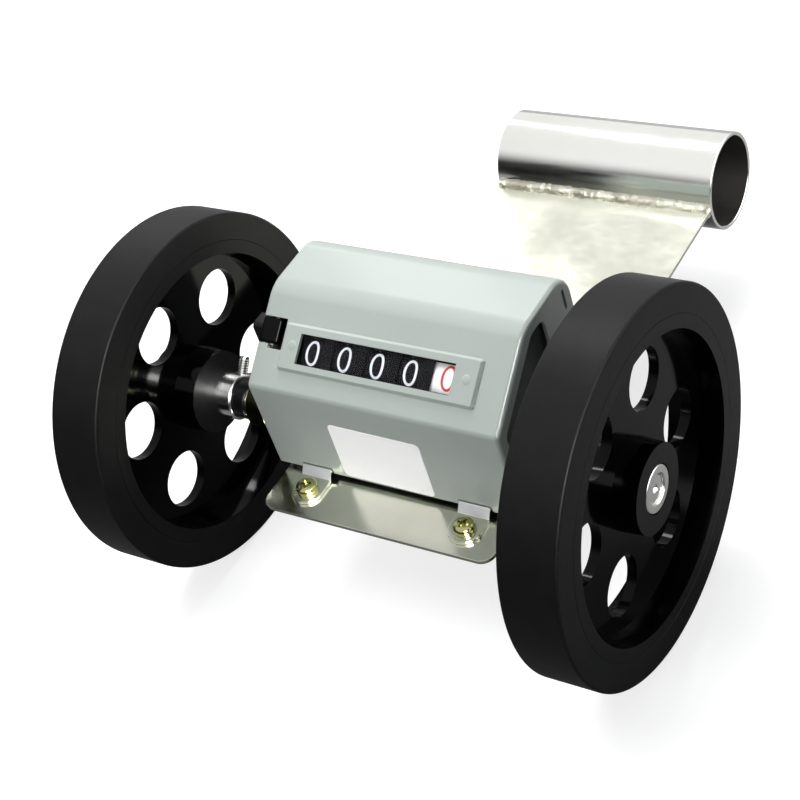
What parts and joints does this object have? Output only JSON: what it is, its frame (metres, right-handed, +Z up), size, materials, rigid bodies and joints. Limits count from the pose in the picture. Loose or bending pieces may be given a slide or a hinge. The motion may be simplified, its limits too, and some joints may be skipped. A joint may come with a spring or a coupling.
{
  "type": "cable length counter",
  "caption": "Rolling length counter: rubber-tyred measuring wheels on one shaft turn number drums in a grey housing, on a plate arm with a pivot tube.",
  "frame": {"origin": "centre of the rod tube's bore, half-way along it", "axes": "+X along the tube's bore and the wheel shaft, -Y to the front where the wheels are, +Z up from the flat of the arm plate"},
  "size_m": [0.158, 0.2106, 0.1061],
  "materials": {
    "zinc_sheet": "satin",
    "plated_tube": "polished",
    "grey_paint": "semi_gloss",
    "clear_plastic": "clear",
    "white_label": "matte",
    "yellow_zinc": "plated",
    "steel": "polished",
    "brass": "turned",
    "black_gloss": "gloss",
    "black_plastic": "satin",
    "white_plastic": "satin",
    "rubber": "matte"
  },
  "bodies": {
    "frame": {"arm_plate": "zinc_sheet", "rod_tube": "plated_tube", "weld_bead": "zinc_sheet", "chassis_frame": "zinc_sheet", "housing_cover": "grey_paint", "window_bezel": "grey_paint", "window_lens": "clear_plastic", "bezel_rivets": "grey_paint", "label": "white_label", "foot_screws": "yellow_zinc", "foot_nuts": "yellow_zinc", "cover_screws": "yellow_zinc", "axle_bush_left": "yellow_zinc", "axle_bush_right": "yellow_zinc", "drum_shaft_bushes": "brass", "pinion_shaft": "steel", "pinion_shaft_clips": "steel", "tie_rod": "zinc_sheet"},
    "wheel_axle": {"wheel_shaft": "steel", "wheel_core_left": "black_gloss", "tyre_left": "rubber", "wheel_sleeve_left": "steel", "sleeve_setscrew_left": "steel", "axle_collar_left": "black_plastic", "wheel_core_right": "black_gloss", "tyre_right": "rubber", "wheel_sleeve_right": "steel", "sleeve_setscrew_right": "steel", "axle_collar_right": "black_plastic", "axle_washers": "zinc_sheet", "axle_pinion": "brass"},
    "reset": {"drum_shaft": "steel", "reset_lever": "black_gloss", "drum_spacer_left": "brass", "drum_spacer_right": "brass"},
    "drum_1": {"number_drum_1": "black_plastic"},
    "drum_2": {"number_drum_2": "black_plastic"},
    "drum_3": {"number_drum_3": "black_plastic"},
    "drum_4": {"number_drum_4": "black_plastic"},
    "drum_5": {"number_drum_5": "white_plastic", "input_gear": "white_plastic"},
    "pinion_1": {"transfer_pinion_1": "white_plastic"},
    "pinion_2": {"transfer_pinion_2": "white_plastic"},
    "pinion_3": {"transfer_pinion_3": "white_plastic"},
    "pinion_4": {"transfer_pinion_4": "white_plastic"}
  },
  "joints": [
    {"name": "wheel_spin", "type": "hinge", "parent": "frame", "child": "wheel_axle", "pos_m": [0, -0.142, 0.017], "axis": [1, 0, 0], "continuous": true},
    {"name": "reset_turn", "type": "hinge", "parent": "frame", "child": "reset", "pos_m": [0, -0.13216, 0.02933], "axis": [1, 0, 0], "range_deg": [0, 90]},
    {"name": "drum_1_turn", "type": "hinge", "parent": "frame", "child": "drum_1", "pos_m": [0, -0.13216, 0.02933], "axis": [1, 0, 0], "continuous": true},
    {"name": "drum_2_turn", "type": "hinge", "parent": "frame", "child": "drum_2", "pos_m": [0, -0.13216, 0.02933], "axis": [1, 0, 0], "continuous": true},
    {"name": "drum_3_turn", "type": "hinge", "parent": "frame", "child": "drum_3", "pos_m": [0, -0.13216, 0.02933], "axis": [1, 0, 0], "continuous": true},
    {"name": "drum_4_turn", "type": "hinge", "parent": "frame", "child": "drum_4", "pos_m": [0, -0.13216, 0.02933], "axis": [1, 0, 0], "continuous": true},
    {"name": "drum_5_turn", "type": "hinge", "parent": "frame", "child": "drum_5", "pos_m": [0, -0.13216, 0.02933], "axis": [1, 0, 0], "continuous": true},
    {"name": "pinion_1_turn", "type": "hinge", "parent": "frame", "child": "pinion_1", "pos_m": [0, -0.11943, 0.02198], "axis": [1, 0, 0], "continuous": true},
    {"name": "pinion_2_turn", "type": "hinge", "parent": "frame", "child": "pinion_2", "pos_m": [0, -0.11943, 0.02198], "axis": [1, 0, 0], "continuous": true},
    {"name": "pinion_3_turn", "type": "hinge", "parent": "frame", "child": "pinion_3", "pos_m": [0, -0.11943, 0.02198], "axis": [1, 0, 0], "continuous": true},
    {"name": "pinion_4_turn", "type": "hinge", "parent": "frame", "child": "pinion_4", "pos_m": [0, -0.11943, 0.02198], "axis": [1, 0, 0], "continuous": true}
  ],
  "couplings": [
    {"joint": "drum_1_turn", "follows": "wheel_spin", "ratio": -0.000033333},
    {"joint": "drum_2_turn", "follows": "wheel_spin", "ratio": -0.00033333},
    {"joint": "drum_3_turn", "follows": "wheel_spin", "ratio": -0.0033333},
    {"joint": "drum_4_turn", "follows": "wheel_spin", "ratio": -0.033333},
    {"joint": "drum_5_turn", "follows": "wheel_spin", "ratio": -0.33333},
    {"joint": "pinion_1_turn", "follows": "wheel_spin", "ratio": 0.000083333},
    {"joint": "pinion_2_turn", "follows": "wheel_spin", "ratio": 0.00083333},
    {"joint": "pinion_3_turn", "follows": "wheel_spin", "ratio": 0.0083333},
    {"joint": "pinion_4_turn", "follows": "wheel_spin", "ratio": 0.083333}
  ]
}
